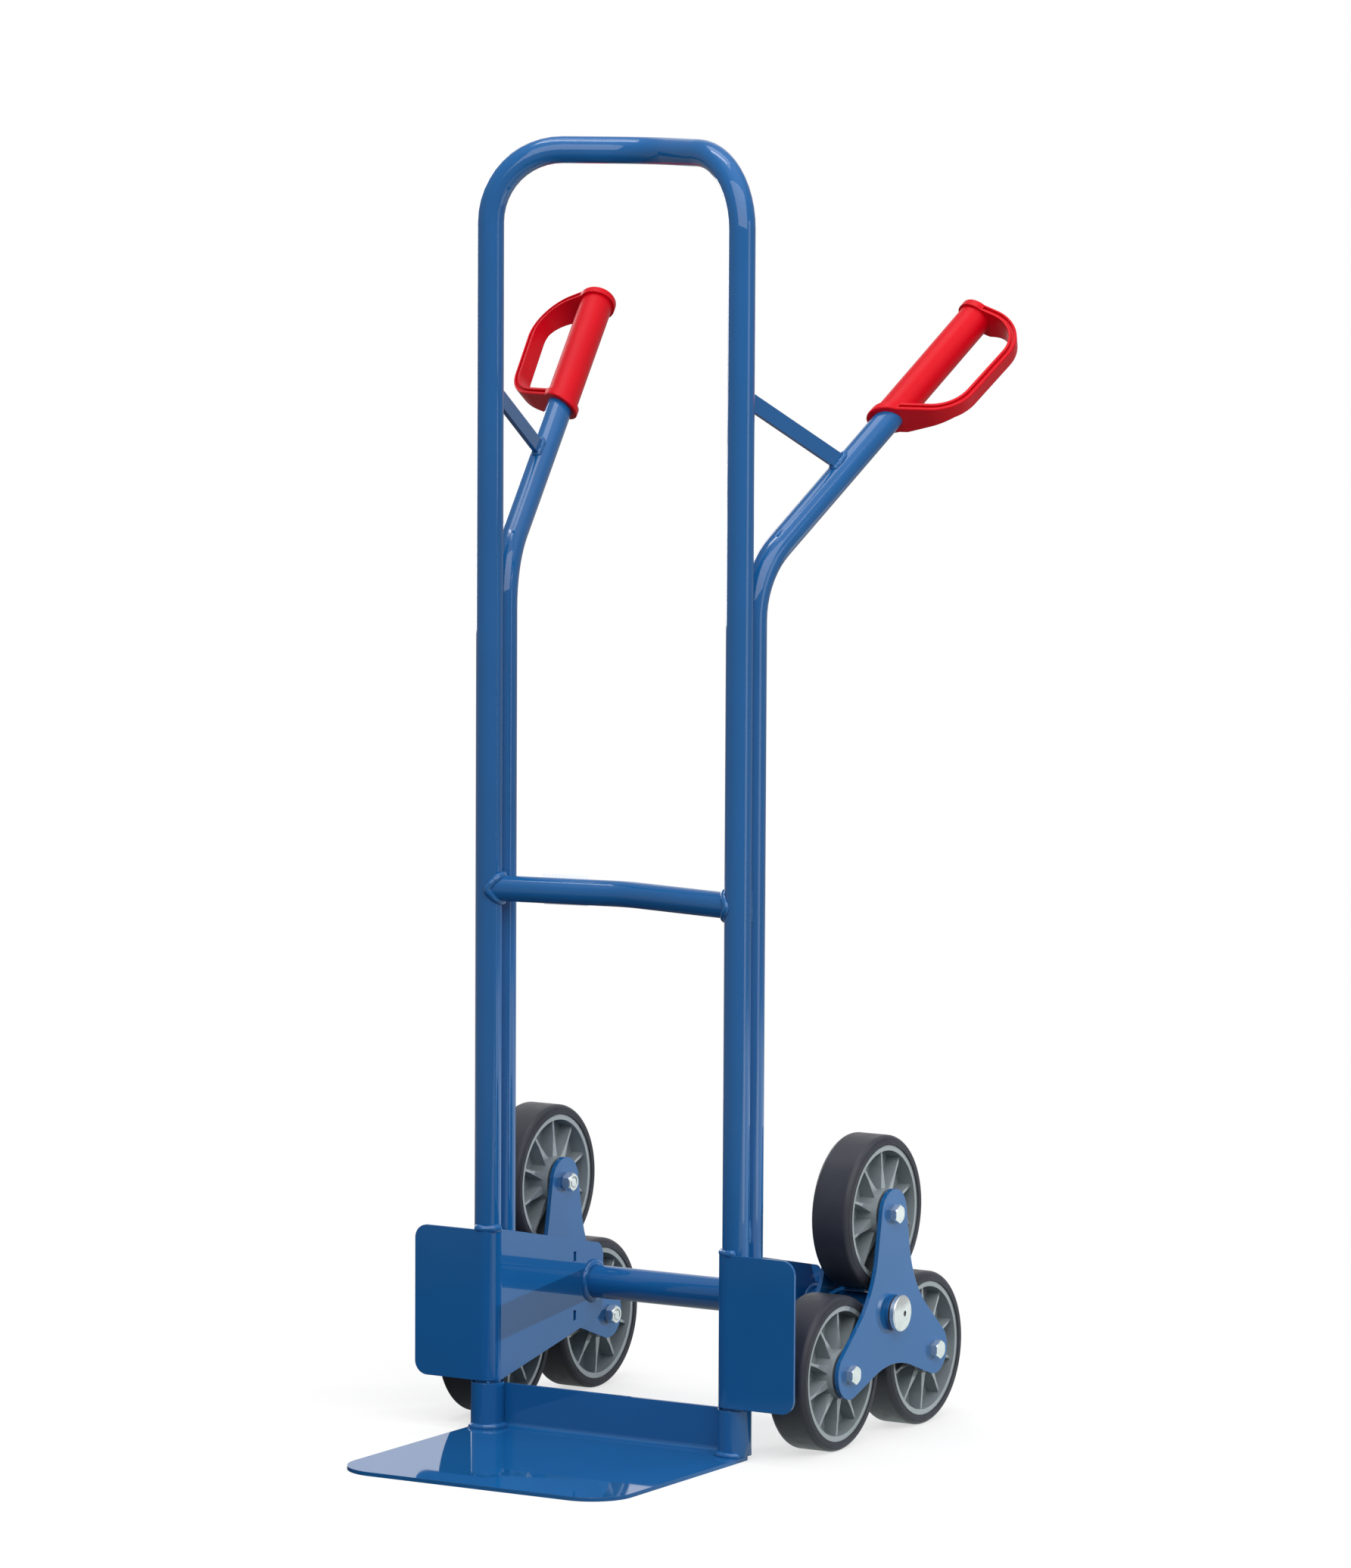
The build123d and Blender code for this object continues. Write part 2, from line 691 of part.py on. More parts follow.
with BuildLine():
    tyre_side = FilletPolyline(
        (tyre_width / 2, rim_radius),
        (tyre_width / 2, wheel_radius),
        (0, wheel_radius),
        radius=tyre_shoulder_radius,
    )
tyre_groove_places = [
    tyre_side.position_at((n + 0.5) * tyre_groove_pitch, position_mode=PositionMode.LENGTH)
    for n in range(tyre_groove_count)
]
with BuildPart() as tyre:
    with BuildSketch(Plane.XY):
        with BuildLine():
            add(tyre_side)
            Polyline((0, wheel_radius), (0, rim_radius), (tyre_width / 2, rim_radius))
        make_face()
        with Locations(*tyre_groove_places):
            Circle(tyre_groove_width / 2, mode=Mode.SUBTRACT)
        mirror(about=Plane.YZ)
    revolve(axis=Axis.X)

with BuildPart() as wheel_bearing:
    with BuildSketch(Plane.YZ.offset(-bearing_length / 2)):
        Circle(bearing_radius)
        Circle(wheel_sleeve_diameter / 2 + wheel_running_clearance, mode=Mode.SUBTRACT)
    extrude(amount=bearing_length)

# the same wheel goes on every arm
for wheel_name, arm_angle in zip(wheel_names, arm_angles):
    arm = Vector(0, star_radius, 0).rotate(Axis.X, arm_angle)
    for piece, piece_name in ((rim, "rim"), (tyre, "tyre"), (wheel_bearing, "wheel_bearing")):
        with BuildPart() as placed_piece:
            with Locations(Vector(wheel_x, axle_setback, axle_z) + arm):
                add(piece.part)
        save_pair(placed_piece.part, f"{piece_name}_{wheel_name}")

# ------------------------------------------------ blank plate behind the crossbar's left half
plate_normal = Vector(-crossbar_bow, upright_x, 0).normalized()
plate_middle = Vector(
    -blank_plate_offset,
    crossbar_bow * (1 - blank_plate_offset / upright_x),
    crossbar_height,
)
with BuildPart() as blank_plate:
    with BuildSketch(
        Plane(
            origin=plate_middle + plate_normal * crossbar_diameter / 2,
            x_dir=(upright_x, crossbar_bow, 0),
            z_dir=plate_normal,
        )
    ):
        RectangleRounded(blank_plate_width, blank_plate_height, blank_plate_corner)
    extrude(amount=blank_plate_thickness)
save(blank_plate.part, "blank_plate")
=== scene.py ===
import json
from math import ceil, cos, pi, radians, sin, sqrt
import random

import bmesh
import bpy
from mathutils import Matrix, Vector, noise


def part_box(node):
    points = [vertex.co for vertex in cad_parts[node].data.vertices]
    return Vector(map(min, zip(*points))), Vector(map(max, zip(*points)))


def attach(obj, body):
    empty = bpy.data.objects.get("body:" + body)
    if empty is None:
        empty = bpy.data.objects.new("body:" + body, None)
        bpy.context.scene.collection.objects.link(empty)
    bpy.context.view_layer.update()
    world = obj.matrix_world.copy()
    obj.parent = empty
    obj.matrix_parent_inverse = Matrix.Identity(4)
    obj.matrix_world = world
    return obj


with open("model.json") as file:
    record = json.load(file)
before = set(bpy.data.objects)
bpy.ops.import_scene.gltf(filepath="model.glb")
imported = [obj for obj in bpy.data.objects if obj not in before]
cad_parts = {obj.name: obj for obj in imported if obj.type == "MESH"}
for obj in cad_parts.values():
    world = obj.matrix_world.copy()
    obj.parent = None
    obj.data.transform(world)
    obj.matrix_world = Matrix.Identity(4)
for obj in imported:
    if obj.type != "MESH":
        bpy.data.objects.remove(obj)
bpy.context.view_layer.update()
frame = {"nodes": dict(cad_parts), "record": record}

# ------------------------------------------------------------------ places, some read from the frame and some given, metres
MM = 0.001
SIDES = {"right": 1, "left": -1}


def middle(node):
    """Middle of a node's box."""
    low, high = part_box(node)
    return (Vector(low) + Vector(high)) / 2


def low(node):
    """Lowest corner of a node's box."""
    return Vector(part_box(node)[0])


def high(node):
    """Highest corner of a node's box."""
    return Vector(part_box(node)[1])


TUBE_RADIUS = -low("hoop_tube").y
UPRIGHT_X = high("hoop_tube").x - TUBE_RADIUS
AXLE = middle("axle_tube")
AXLE_TUBE_RADIUS = (high("axle_tube") - low("axle_tube")).z / 2
CROSSBAR_Z = middle("crossbar").z
CROSSBAR_RADIUS = (high("crossbar") - low("crossbar")).z / 2
HANDLE_Y = 2 * TUBE_RADIUS
KNEE_HEIGHT = 0.8745
HANDLE_TILT = radians(52.5)
HANDLE_SPLAY = radians(14.4)
BRACKET_SHEET = 3 * MM
CROSSBAR_BOW = 28.5 * MM
STRUT_TOP = 1.053
STRUT_REACH = 165 * MM
STRUT_WIDTH = 16 * MM
STRUT_THICKNESS = 5 * MM
SOCKET_REACH = 3.1 * MM
SOCKET_DEPTH = 1.5 * MM
# thickness of the black disc of painted shade in the end screws' sockets
SHADE_DISC_THICKNESS = 0.4 * MM

# ------------------------------------------------------------------ materials


def linked(tree, kind, **inputs):
    """A shader node with its plain inputs set."""
    node = tree.nodes.new(kind)
    for key, value in inputs.items():
        node.inputs[key.replace("_", " ")].default_value = value
    return node


class Finish:
    """A Principled material with a few procedural layers."""

    def __init__(self, name, color, roughness, metallic=0.0):
        self.material = bpy.data.materials.new(name)
        self.material.use_nodes = True
        self.tree = self.material.node_tree
        self.shader = self.tree.nodes["Principled BSDF"]
        self.color = (*color, 1.0)
        self.shader.inputs["Base Color"].default_value = self.color
        self.shader.inputs["Roughness"].default_value = roughness
        self.shader.inputs["Metallic"].default_value = metallic
        self.roughness = roughness
        self.place = self.tree.nodes.new("ShaderNodeTexCoord").outputs["Object"]
        self.normal = None

    def noise(self, scale, detail=2.0, stretch=None):
        """A noise value over the object's own coordinates."""
        texture = linked(self.tree, "ShaderNodeTexNoise", Scale=scale, Detail=detail)
        place = self.place
        if stretch:
            mapping = linked(self.tree, "ShaderNodeMapping", Scale=stretch)
            self.tree.links.new(place, mapping.inputs["Vector"])
            place = mapping.outputs["Vector"]
        self.tree.links.new(place, texture.inputs["Vector"])
        return texture.outputs["Fac"]

    def vary_color(self, value, darker, lighter):
        """Base colour between two multiples of the finish's own colour."""
        ramp = self.tree.nodes.new("ShaderNodeValToRGB")
        ends = ramp.color_ramp.elements
        ends[0].position, ends[1].position = 0.35, 0.65
        for end, factor in zip(ends, (darker, lighter)):
            end.color = (*[min(1.0, channel * factor) for channel in self.color[:3]], 1.0)
        self.tree.links.new(value, ramp.inputs["Fac"])
        self.tree.links.new(ramp.outputs["Color"], self.shader.inputs["Base Color"])

    def vary_roughness(self, value, spread):
        """Roughness that wanders by +-spread."""
        reach = linked(
            self.tree,
            "ShaderNodeMapRange",
            To_Min=self.roughness - spread,
            To_Max=self.roughness + spread,
        )
        reach.inputs["From Min"].default_value = 0.3
        reach.inputs["From Max"].default_value = 0.7
        self.tree.links.new(value, reach.inputs["Value"])
        self.tree.links.new(reach.outputs["Result"], self.shader.inputs["Roughness"])

    def soften_edges(self, radius):
        """Rounded sharp edges."""
        bevel = linked(self.tree, "ShaderNodeBevel", Radius=radius)
        bevel.samples = 4
        self.normal = bevel.outputs["Normal"]
        self.tree.links.new(self.normal, self.shader.inputs["Normal"])

    def bump(self, value, height, strength=1.0):
        """Relief of a given height in metres."""
        relief = linked(self.tree, "ShaderNodeBump", Strength=strength, Distance=height)
        self.tree.links.new(value, relief.inputs["Height"])
        if self.normal:
            self.tree.links.new(self.normal, relief.inputs["Normal"])
        self.normal = relief.outputs["Normal"]
        self.tree.links.new(self.normal, self.shader.inputs["Normal"])


def powder_coat():
    """Glossy blue powder coat with its faint orange peel."""
    finish = Finish("blue_powder_coat", (0.0085, 0.103, 0.305), 0.035)
    finish.vary_color(finish.noise(9.0), 0.97, 1.04)
    finish.vary_roughness(finish.noise(40.0), 0.01)
    finish.soften_edges(0.8 * MM)
    finish.bump(finish.noise(55.0, 0.0), 0.02 * MM, 0.25)
    return finish.material


def red_moulding():
    """Satin red grips."""
    finish = Finish("red_moulding", (0.59, 0.0, 0.0085), 0.42)
    finish.shader.inputs["Specular IOR Level"].default_value = 0.16
    finish.vary_color(finish.noise(14.0), 0.96, 1.03)
    finish.vary_roughness(finish.noise(70.0), 0.03)
    finish.soften_edges(0.8 * MM)
    return finish.material


def grey_moulding():
    """Grey wheel rims, with the cloudy look of filled nylon."""
    finish = Finish("grey_moulding", (0.27, 0.31, 0.33), 0.17)
    finish.vary_color(finish.noise(26.0, 4.0), 0.92, 1.06)
    finish.vary_roughness(finish.noise(90.0), 0.03)
    finish.soften_edges(0.9 * MM)
    finish.bump(finish.noise(260.0, 2.0), 0.02 * MM, 0.3)
    return finish.material


def tyre_rubber():
    """Dark solid rubber, with mould dust and a fine skin."""
    finish = Finish("tyre_rubber", (0.031, 0.033, 0.045), 0.45)
    finish.shader.inputs["Specular IOR Level"].default_value = 0.35
    finish.vary_color(finish.noise(30.0, 5.0), 0.9, 1.12)
    finish.vary_roughness(finish.noise(120.0, 3.0), 0.05)
    finish.soften_edges(0.35 * MM)
    finish.bump(finish.noise(700.0, 3.0), 0.02 * MM, 0.3)
    return finish.material


def zinc_plate():
    """Bright zinc plating on the fasteners."""
    finish = Finish("zinc_plate", (0.80, 0.83, 0.84), 0.3, 0.92)
    finish.vary_color(finish.noise(120.0, 3.0), 0.94, 1.05)
    finish.vary_roughness(finish.noise(300.0, 3.0), 0.04)
    finish.soften_edges(0.5 * MM)
    finish.bump(finish.noise(400.0, 2.0), 0.012 * MM, 0.2)
    return finish.material


def drawn_steel():
    """Bare drawn steel of the shaft and rings, with marks along it."""
    finish = Finish("drawn_steel", (0.48, 0.48, 0.49), 0.34, 1.0)
    finish.vary_color(finish.noise(60.0, 3.0, (0.1, 1.0, 1.0)), 0.85, 1.1)
    finish.bump(finish.noise(1400.0, 2.0, (0.03, 1.0, 1.0)), 0.02 * MM, 0.4)
    return finish.material


def black_nylon():
    """Bearings and bushes."""
    finish = Finish("black_nylon", (0.022, 0.022, 0.024), 0.45)
    finish.vary_color(finish.noise(90.0, 3.0), 0.85, 1.2)
    finish.bump(finish.noise(1800.0, 2.0), 0.03 * MM, 0.4)
    return finish.material


def pale_plate_with_painted_glow():
    """Smooth pale plastic of the blank plate, with a painted glow."""
    finish = Finish("pale_plate_with_painted_glow", (0.86, 0.86, 0.85), 0.4)
    # painted light: a faint glow brightens the plate, as if light from the white background behind shone
    # through it
    finish.shader.inputs["Emission Color"].default_value = (1, 1, 1, 1)
    finish.shader.inputs["Emission Strength"].default_value = 0.35
    finish.vary_color(finish.noise(40.0, 3.0), 0.97, 1.03)
    finish.soften_edges(0.3 * MM)
    finish.bump(finish.noise(900.0, 2.0), 0.01 * MM, 0.3)
    return finish.material


FINISHES = {
    "blue_paint": powder_coat(),
    "red_plastic": red_moulding(),
    "grey_plastic": grey_moulding(),
    "tyre_rubber": tyre_rubber(),
    "zinc": zinc_plate(),
    "bare_steel": drawn_steel(),
    "black_plastic": black_nylon(),
    "white_plate": pale_plate_with_painted_glow(),
}
SLOT_OF = {row["node"]: row["material_slot"] for row in frame["record"]["subparts"]}

for name, piece in frame["nodes"].items():
    piece.data.materials.clear()
    piece.data.materials.append(FINISHES[SLOT_OF[name]])

# ------------------------------------------------------------------ weld beads
RING_SIDES = 14
BEAD_STEP = 0.9 * MM
RIPPLE_PITCH = 3.4 * MM
RIPPLE_SHARE = 0.012
LUMPS_PER_METRE = 110
WANDER_PER_METRE = 70
WANDER_SHARE = 0.15
LEAST_END = 0.02  # square of the thickness that an open bead keeps at its very end

# radii of the beads
CROSSBAR_BEAD = 4.0 * MM
CROSSBAR_TOP_BEAD = 4.6 * MM
TUBE_SEAM_BEAD = 3.3 * MM
BRACKET_BEAD = 3.7 * MM
BRACKET_BACK_BEAD = 3.0 * MM
SOCKET_FOOT_BEAD = 3.8 * MM
SOCKET_TACK = 1.9 * MM
AXLE_BEADS = (4.4 * MM, 3.6 * MM)  # on the side plate's inner and outer face
HUB_BEAD = 2.8 * MM
STRUT_BEADS = (2.2 * MM, 3.0 * MM)  # at the upright and at the handle tube
STRUT_END_BEAD = 4.4 * MM

draw = random.Random(7)
noise.seed_set(7)  # otherwise noise_vector takes its seed from the clock


def evenly(points, closed):
    """The same path with points a step apart."""
    path = list(points) + ([points[0]] if closed else [])
    lengths = [(b - a).length for a, b in zip(path, path[1:])]
    count = max(6, ceil(sum(lengths) / BEAD_STEP))
    spaced, run, spent = [], 0, 0.0
    for n in range(count if closed else count + 1):
        want = sum(lengths) * n / count
        while run < len(lengths) - 1 and spent + lengths[run] < want:
            spent += lengths[run]
            run += 1
        share = (want - spent) / lengths[run] if lengths[run] else 0.0
        spaced.append(path[run].lerp(path[run + 1], min(1.0, share)))
    return spaced


def directions(path, closed):
    """The path's direction at each of its points."""
    last = len(path) - 1
    for n, point in enumerate(path):
        before = path[n - 1] if n or closed else point
        after = path[(n + 1) % len(path)] if n < last or closed else point
        yield (after - before).normalized()


def thickness(point, n, count, phase, radius, closed, lumps):
    """A bead's thickness at a point, as a share of its radius: ripples, lumps and rounded ends."""
    run = n * BEAD_STEP
    share = (
        1
        + RIPPLE_SHARE * sin(2 * pi * run / RIPPLE_PITCH + phase)
        + lumps * noise.noise(point * LUMPS_PER_METRE)
    )
    if not closed:
        from_end = min(n, count - 1 - n) * BEAD_STEP
        share *= sqrt(max(LEAST_END, 1 - max(0.0, 1 - from_end / radius) ** 2))
    return share


def rings_along(mesh, path, radius, closed, lumps):
    """Rings of vertices round a path."""
    phase = draw.random() * 2 * pi
    rings = []
    across = None
    for n, (point, along) in enumerate(zip(path, directions(path, closed))):
        if across is None:
            across = along.orthogonal().normalized()
        across = (across - along * across.dot(along)).normalized()
        up = along.cross(across)
        share = thickness(point, n, len(path), phase, radius, closed, lumps)
        centre = point + noise.noise_vector(point * WANDER_PER_METRE) * radius * WANDER_SHARE
        ring = []
        for side in range(RING_SIDES):
            turn = 2 * pi * side / RING_SIDES
            ring.append(mesh.verts.new(centre + (across * cos(turn) + up * sin(turn)) * radius * share))
        rings.append(ring)
    return rings


def skin(mesh, rings, closed):
    """Faces between the rings, and over the ends of an open bead."""
    pairs = list(zip(rings, rings[1:]))
    if closed:
        # the last ring meets the first at the side where their frames agree best
        shift = min(
            range(RING_SIDES), key=lambda k: (rings[0][k].co - rings[-1][0].co).length
        )
        pairs.append((rings[-1], rings[0][shift:] + rings[0][:shift]))
    for a, b in pairs:
        for side in range(RING_SIDES):
            nxt = (side + 1) % RING_SIDES
            mesh.faces.new((a[side], a[nxt], b[nxt], b[side]))
    if not closed:
        mesh.faces.new(rings[0][::-1])
        mesh.faces.new(rings[-1])


def bead(name, body, points, radius, closed=True, lumps=0.25):
    """A weld bead along a path: a lumpy, softly rippled rope that sinks into the pieces it joins."""
    path = evenly([Vector(p) for p in points], closed)
    mesh = bmesh.new()
    rings = rings_along(mesh, path, radius, closed, lumps)
    skin(mesh, rings, closed)
    bmesh.ops.recalc_face_normals(mesh, faces=mesh.faces)
    return finished(name, mesh, body, "blue_paint")


def finished(name, mesh, body, slot):
    """An object from a bmesh, smooth, in its finish, riding on its body."""
    data = bpy.data.meshes.new(name)
    for face in mesh.faces:
        face.smooth = True
    mesh.to_mesh(data)
    mesh.free()
    piece = bpy.data.objects.new(name, data)
    bpy.context.collection.objects.link(piece)
    data.materials.append(FINISHES[slot])
    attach(piece, body)
    return piece


def circle(centre, radius, axis, count=72, start=0.0, turn=2 * pi):
    """Points on a circle, or on an arc of it."""
    axis = Vector(axis).normalized()
    across = (Vector((0, 0, 1)) if abs(axis.z) < 0.9 else Vector((1, 0, 0))).cross(axis).normalized()
    up = axis.cross(across)
    steps = count if turn >= 2 * pi else count + 1
    return [
        Vector(centre) + (across * cos(a) + up * sin(a)) * radius
        for a in (start + turn * n / count for n in range(steps))
    ]


def onto_tube(point, along, tube_point, tube_axis, radius):
    """Where a line through a point first meets a tube's surface."""
    axis = Vector(tube_axis).normalized()
    offset = Vector(point) - Vector(tube_point)
    offset -= axis * offset.dot(axis)
    run = Vector(along) - axis * Vector(along).dot(axis)
    a, b, c = run.dot(run), 2 * offset.dot(run), offset.dot(offset) - radius * radius
    return Vector(point) + Vector(along) * ((-b - sqrt(max(0.0, b * b - 4 * a * c))) / (2 * a))


def seam(points_from, points_to):
    """A straight path between two points."""
    return [Vector(points_from), Vector(points_to)]


along_handle = Vector(
    (sin(HANDLE_TILT) * sin(HANDLE_SPLAY), sin(HANDLE_TILT) * cos(HANDLE_SPLAY), cos(HANDLE_TILT))
)


def strut_outline(sign):
    """Middle and corner offsets of a strut's section, and its direction from upright to handle."""
    start = Vector((sign * UPRIGHT_X, 0, STRUT_TOP))
    handle = Vector((sign * along_handle.x, along_handle.y, along_handle.z))
    end = Vector((sign * UPRIGHT_X, HANDLE_Y, KNEE_HEIGHT)) + handle * STRUT_REACH
    run = (end - start).normalized()
    flat = run.cross(Vector((0, 0, 1))).normalized() * STRUT_THICKNESS / 2
    edge = run.cross(flat).normalized() * STRUT_WIDTH / 2
    corners = [flat + edge, edge - flat, -flat - edge, flat - edge]
    outline = []
    for here, there in zip(corners, corners[1:] + corners[:1]):
        outline += [here.lerp(there, share / 8) for share in range(8)]
    return (start + end) / 2, outline, run, end, handle


def weld_crossbar(side, sign, upright):
    """The saddle line where crossbar and upright meet, with a lumpier run on top."""
    bow = Vector((-sign * UPRIGHT_X, CROSSBAR_BOW, 0)).normalized()
    level = Vector((0, 0, 1)).cross(bow)
    saddle = []
    for n in range(48):
        turn = 2 * pi * n / 48
        rim_point = (
            upright
            + Vector((0, 0, CROSSBAR_Z))
            + bow * 2 * TUBE_RADIUS
            + (level * cos(turn) + Vector((0, 0, 1)) * sin(turn)) * CROSSBAR_RADIUS
        )
        saddle.append(onto_tube(rim_point, -bow, upright, (0, 0, 1), TUBE_RADIUS))
    bead(f"weld_crossbar_{side}", "frame", saddle, CROSSBAR_BEAD)
    upper = [point for point in saddle if point.z > CROSSBAR_Z + 0.45 * CROSSBAR_RADIUS]
    bead(f"weld_crossbar_top_{side}", "frame", upper, CROSSBAR_TOP_BEAD, closed=False, lumps=0.7)


def weld_tubes(side, sign):
    """Short seams between the upright and the handle tube behind it."""
    groove = sign * (UPRIGHT_X + 5.6 * MM)
    above_bracket = high(f"bracket_{side}").z + 20 * MM
    for n, (z, length) in enumerate(((CROSSBAR_Z, 34 * MM), (above_bracket, 26 * MM))):
        path = seam((groove, TUBE_RADIUS, z - length / 2), (groove, TUBE_RADIUS, z + length / 2))
        bead(f"weld_tubes_{n}_{side}", "frame", path, TUBE_SEAM_BEAD, closed=False)


def weld_bracket(side, sign, upright):
    """The bracket's top edge to the upright, round its inside and front, and to the handle tube."""
    top = upright + Vector((0, 0, high(f"bracket_{side}").z + 1.0 * MM))
    start = radians(-95 if sign > 0 else -30)
    arc = circle(top, TUBE_RADIUS + 0.4 * MM, (0, 0, 1), 48, start, radians(125))
    bead(f"weld_bracket_{side}", "frame", arc, BRACKET_BEAD, closed=False, lumps=0.4)
    start = radians(150 if sign > 0 else -50)
    arc = circle(top + Vector((0, HANDLE_Y, 0)), TUBE_RADIUS, (0, 0, 1), 24, start, radians(80))
    bead(f"weld_bracket_back_{side}", "frame", arc, BRACKET_BACK_BEAD, closed=False)


def weld_socket(side, sign, upright):
    """The socket's foot on the toe plate, and tacks between its lip and the bracket."""
    socket_radius = (high(f"socket_{side}") - low(f"socket_{side}")).y / 2
    foot = upright + Vector((0, 0, low(f"socket_{side}").z + 1.2 * MM))
    start = radians(-115 if sign > 0 else -50)
    arc = circle(foot, socket_radius, (0, 0, 1), 64, start, radians(165))
    bead(f"weld_socket_foot_{side}", "frame", arc, SOCKET_FOOT_BEAD, closed=False)
    lip = upright + Vector((0, 0, high(f"socket_{side}").z + 1.0 * MM))
    for n, start in enumerate((-66, 24)):
        arc = circle(lip, TUBE_RADIUS + 1.0 * MM, (0, 0, 1), 12, radians(start), radians(20))
        bead(f"tack_socket_{n}_{side}", "frame", arc, SOCKET_TACK, closed=False)


def weld_axle(side, sign):
    """The axle tube to both faces of the bracket's side plate."""
    plate_x = low(f"bracket_{side}").x if sign > 0 else high(f"bracket_{side}").x
    for n, (x, radius) in enumerate(zip((plate_x, plate_x + sign * BRACKET_SHEET), AXLE_BEADS)):
        ring = circle((x, AXLE.y, AXLE.z), AXLE_TUBE_RADIUS + 1.2 * MM, (1, 0, 0))
        bead(f"weld_axle_{n}_{side}", "frame", ring, radius)


def weld_hub(side, sign):
    """The star's hub tube to its inner plate."""
    hub_radius = (high(f"star_hub_{side}") - low(f"star_hub_{side}")).z / 2
    inner = low(f"star_plate_inner_{side}").x if sign > 0 else high(f"star_plate_inner_{side}").x
    ring = circle((inner, AXLE.y, AXLE.z), hub_radius + 0.4 * MM, (1, 0, 0), 96)
    bead(f"weld_hub_{side}", f"star_{side}", ring, HUB_BEAD)


def weld_strut(side, sign, upright):
    """Both ends of the strut, and a short run on top of the handle tube."""
    strut_middle, outline, run, end, handle = strut_outline(sign)
    places = ((-run, upright, (0, 0, 1)), (run, end, handle))
    for n, ((direction, tube_point, tube_axis), radius) in enumerate(zip(places, STRUT_BEADS)):
        path = [
            onto_tube(strut_middle + offset, direction, tube_point, tube_axis, TUBE_RADIUS)
            for offset in outline
        ]
        bead(f"weld_strut_{n}_{side}", "frame", path, radius)
    top = max(path, key=lambda point: point.z)
    path = seam(top - handle * 2 * MM, top + handle * 6 * MM)
    bead(f"weld_strut_end_{side}", "frame", path, STRUT_END_BEAD, closed=False)


for side, sign in SIDES.items():
    upright = Vector((sign * UPRIGHT_X, 0, 0))
    weld_crossbar(side, sign, upright)
    weld_tubes(side, sign)
    weld_bracket(side, sign, upright)
    weld_socket(side, sign, upright)
    weld_axle(side, sign)
    weld_hub(side, sign)
    weld_strut(side, sign, upright)

# ------------------------------------------------------------------ painted shade: a black disc down in each end screw's socket
for side, sign in SIDES.items():
    face = high(f"end_screw_{side}").x if sign > 0 else low(f"end_screw_{side}").x
    # painted shade: the black disc darkens the shallow socket, where the real, deeper recess lies in
    # shade
    shade_disc = bmesh.new()
    bmesh.ops.create_cone(
        shade_disc,
        cap_ends=True,
        segments=6,
        radius1=SOCKET_REACH,
        radius2=SOCKET_REACH,
        depth=SHADE_DISC_THICKNESS,
    )
    bmesh.ops.rotate(shade_disc, verts=shade_disc.verts, matrix=Matrix.Rotation(radians(90), 3, "Y"))
    bmesh.ops.translate(shade_disc, verts=shade_disc.verts, vec=(face - sign * SOCKET_DEPTH, AXLE.y, AXLE.z))
    finished(f"socket_painted_shade_{side}", shade_disc, "frame", "black_plastic")

# ------------------------------------------------------------------ floor, background, light, camera
FLOOR_REACH = 12.0
FLOOR_SEEN = 0.3
FLOOR_BOUNCE = 0.15
FLOOR_LIFT = 0.645
STUDIO_LEVEL = 0.42
BRIGHT_PATCH = (1.4, 0.95, 0.0)
REAR_WALL = (-0.51, 0.84, 0.18)  # towards the bright wall behind on the left
CEILING = (0.25, -0.1, 0.96)
BEAM_PLACE = (2.48, 3.28, 0.42)
BEAM_SOURCE = Vector((2.62, 3.19, 0.29))  # the way back along the beam

floor_mesh = bpy.data.meshes.new("floor")
grid = bmesh.new()
bmesh.ops.create_grid(grid, x_segments=2, y_segments=2, size=FLOOR_REACH)
grid.to_mesh(floor_mesh)
grid.free()
floor = bpy.data.objects.new("floor", floor_mesh)
bpy.context.collection.objects.link(floor)


def stepped(tree, value, start, end, first=0.0, last=1.0):
    """A value mapped from start..end to first..last, and held beyond."""
    step = linked(tree, "ShaderNodeMapRange", From_Min=start, From_Max=end, To_Min=first, To_Max=last)
    tree.links.new(value, step.inputs["Value"])
    return step.outputs["Result"]


def added(tree, *values):
    """The sum of some values."""
    total = values[0]
    for value in values[1:]:
        node = tree.nodes.new("ShaderNodeMath")
        tree.links.new(total, node.inputs[0])
        tree.links.new(value, node.inputs[1])
        total = node.outputs[0]
    return total


def both(tree, first, second):
    """Two shaders added."""
    node = tree.nodes.new("ShaderNodeAddShader")
    tree.links.new(first, node.inputs[0])
    tree.links.new(second, node.inputs[1])
    return node.outputs[0]


def mixed(tree, share, first, second):
    """Two shaders mixed by a value."""
    node = tree.nodes.new("ShaderNodeMixShader")
    tree.links.new(share, node.inputs["Fac"])
    tree.links.new(first, node.inputs[1])
    tree.links.new(second, node.inputs[2])
    return node.outputs[0]


def away_from(tree, place, point):
    """The distance to a point."""
    node = linked(tree, "ShaderNodeVectorMath")
    node.operation = "DISTANCE"
    node.inputs[1].default_value = point
    tree.links.new(place, node.inputs[0])
    return node.outputs["Value"]


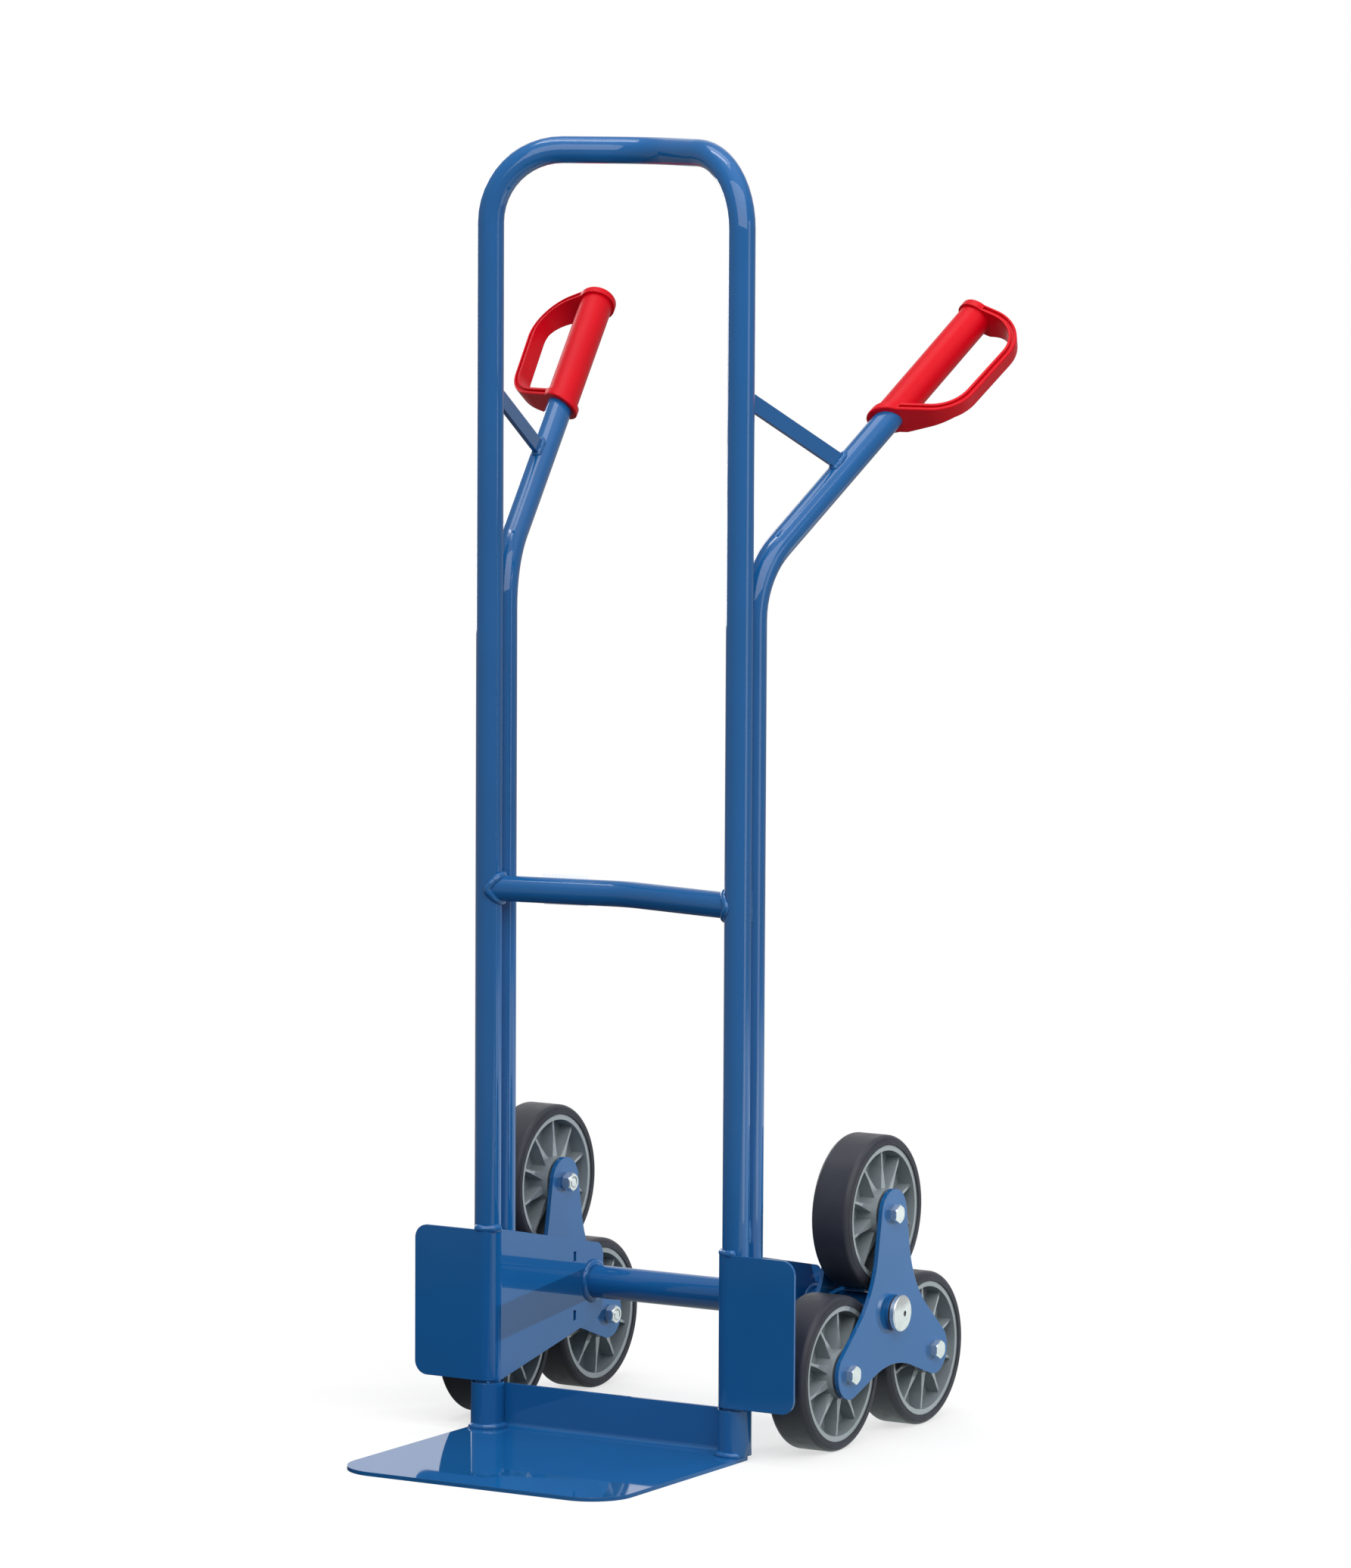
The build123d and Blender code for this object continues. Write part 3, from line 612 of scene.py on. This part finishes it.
def floor_material():
    """A floor that is white with the object's shadow to the camera, and grey to diffuse light."""
    material = bpy.data.materials.new("studio_floor")
    material.use_nodes = True
    tree = material.node_tree
    tree.nodes.clear()
    out = tree.nodes.new("ShaderNodeOutputMaterial")
    matte = linked(tree, "ShaderNodeBsdfDiffuse", Color=(FLOOR_SEEN, FLOOR_SEEN, FLOOR_SEEN, 1))
    bounce = linked(tree, "ShaderNodeBsdfDiffuse", Color=(FLOOR_BOUNCE, FLOOR_BOUNCE, FLOOR_BOUNCE, 1))
    lift = linked(tree, "ShaderNodeEmission", Strength=FLOOR_LIFT)
    lifted = both(tree, matte.outputs[0], lift.outputs[0])
    white = linked(tree, "ShaderNodeEmission", Strength=1.0)
    place = tree.nodes.new("ShaderNodeTexCoord").outputs["Object"]
    distance = away_from(tree, place, (0.0, 0.0, 0.0))
    seen = mixed(tree, stepped(tree, distance, 0.7, 1.8), lifted, white.outputs[0])
    # gloss sees a dark floor near by, a bright patch on the right, and the studio further out
    patch = linked(tree, "ShaderNodeEmission", Color=(0.97, 1.08, 1.04, 1))
    patch_level = stepped(tree, away_from(tree, place, BRIGHT_PATCH), 1.45, 1.9, 0.8, 0.0)
    tree.links.new(patch_level, patch.inputs["Strength"])
    beyond = linked(tree, "ShaderNodeEmission")
    tree.links.new(stepped(tree, distance, 0.9, 2.2, 0.05, STUDIO_LEVEL), beyond.inputs["Strength"])
    mirrored = both(tree, patch.outputs[0], beyond.outputs[0])
    rays = tree.nodes.new("ShaderNodeLightPath").outputs
    unseen = mixed(tree, rays["Is Glossy Ray"], bounce.outputs[0], mirrored)
    tree.links.new(mixed(tree, rays["Is Camera Ray"], unseen, seen), out.inputs["Surface"])
    return material


floor_mesh.materials.append(floor_material())


def facing(tree, direction, towards):
    """How far a direction turns towards another."""
    turn = linked(tree, "ShaderNodeVectorMath")
    turn.operation = "DOT_PRODUCT"
    turn.inputs[1].default_value = towards
    tree.links.new(direction, turn.inputs[0])
    return turn.outputs["Value"]


def studio_world():
    """White for the camera; for light, grey walls, a brighter ceiling and one bright wall."""
    world = bpy.data.worlds.new("studio")
    world.use_nodes = True
    tree = world.node_tree
    tree.nodes.clear()
    out = tree.nodes.new("ShaderNodeOutputWorld")
    seen = linked(tree, "ShaderNodeBackground", Color=(1, 1, 1, 1), Strength=1.0)
    light = linked(tree, "ShaderNodeBackground", Color=(1, 1, 1, 1))
    direction = tree.nodes.new("ShaderNodeTexCoord").outputs["Generated"]
    ceiling = stepped(tree, facing(tree, direction, CEILING), 0.55, 0.95, STUDIO_LEVEL, 1.1)
    wall = stepped(tree, facing(tree, direction, REAR_WALL), 0.8, 0.92, 0.0, 0.5)
    tree.links.new(added(tree, ceiling, wall), light.inputs["Strength"])
    rays = tree.nodes.new("ShaderNodeLightPath").outputs
    sky = mixed(tree, rays["Is Camera Ray"], light.outputs[0], seen.outputs[0])
    tree.links.new(sky, out.inputs["Surface"])
    return world


bpy.context.scene.world = studio_world()


def hung(name, lamp, place, turn):
    """A lamp's object at its place, unseen by the camera."""
    holder = bpy.data.objects.new(name, lamp)
    bpy.context.collection.objects.link(holder)
    holder.visible_camera = False
    holder.location = place
    holder.rotation_mode = "QUATERNION"
    holder.rotation_quaternion = turn
    return holder


def softbox(name, place, aim, width, height, radiance):
    """A rectangular area lamp that faces a point."""
    lamp = bpy.data.lights.new(name, "AREA")
    lamp.shape = "RECTANGLE"
    lamp.size, lamp.size_y = width, height
    lamp.energy = radiance * pi * width * height
    hung(name, lamp, place, (Vector(aim) - Vector(place)).to_track_quat("-Z", "Y"))


softbox("front", (1.35, -1.6, 2.35), (0.0, 0.0, 1.0), 3.8, 2.1, 2.3)
softbox("top", (-0.4, 0.0, 3.6), (-0.4, 0.0, 0.0), 1.9, 1.3, 2.3)
softbox("top_core", (-0.5, -0.3, 3.55), (-0.5, -0.3, 0.0), 1.4, 0.2, 8.0)
softbox("right", (1.6, 0.15, 0.7), (0.14, 0.0, 0.7), 0.5, 1.5, 1.6)
softbox("left_rear", (-2.7, 1.6, 1.3), (0.0, 0.1, 0.6), 1.4, 1.6, 4.0)

# a low, narrow beam from behind on the right
beam = bpy.data.lights.new("beam", "SPOT")
beam.energy = 400
beam.shadow_soft_size = 0.04
beam.spot_size = 0.25
beam.spot_blend = 0.6
beam_holder = hung("beam", beam, BEAM_PLACE, BEAM_SOURCE.to_track_quat("Z", "Y"))
beam_holder.visible_glossy = False

CAMERA_AZIMUTH = radians(31.055)
CAMERA_DISTANCE = 8.061
CAMERA_HEIGHT = 1.53865
CAMERA_HEADING = radians(30.614)
CAMERA_PITCH = radians(6.199)
CAMERA_ROLL = radians(0.302)
camera_data = bpy.data.cameras.new("camera")
camera_data.sensor_width = 36.0
camera_data.lens = 188.18
camera_data.clip_end = 60.0
camera = bpy.data.objects.new("camera", camera_data)
bpy.context.collection.objects.link(camera)
camera.matrix_world = (
    Matrix.Translation(
        (
            CAMERA_DISTANCE * sin(CAMERA_AZIMUTH),
            -CAMERA_DISTANCE * cos(CAMERA_AZIMUTH),
            CAMERA_HEIGHT,
        )
    )
    @ Matrix.Rotation(CAMERA_HEADING, 4, "Z")
    @ Matrix.Rotation(pi / 2 - CAMERA_PITCH, 4, "X")
    @ Matrix.Rotation(CAMERA_ROLL, 4, "Z")
)
bpy.context.scene.camera = camera
bpy.context.scene.view_settings.view_transform = "Standard"
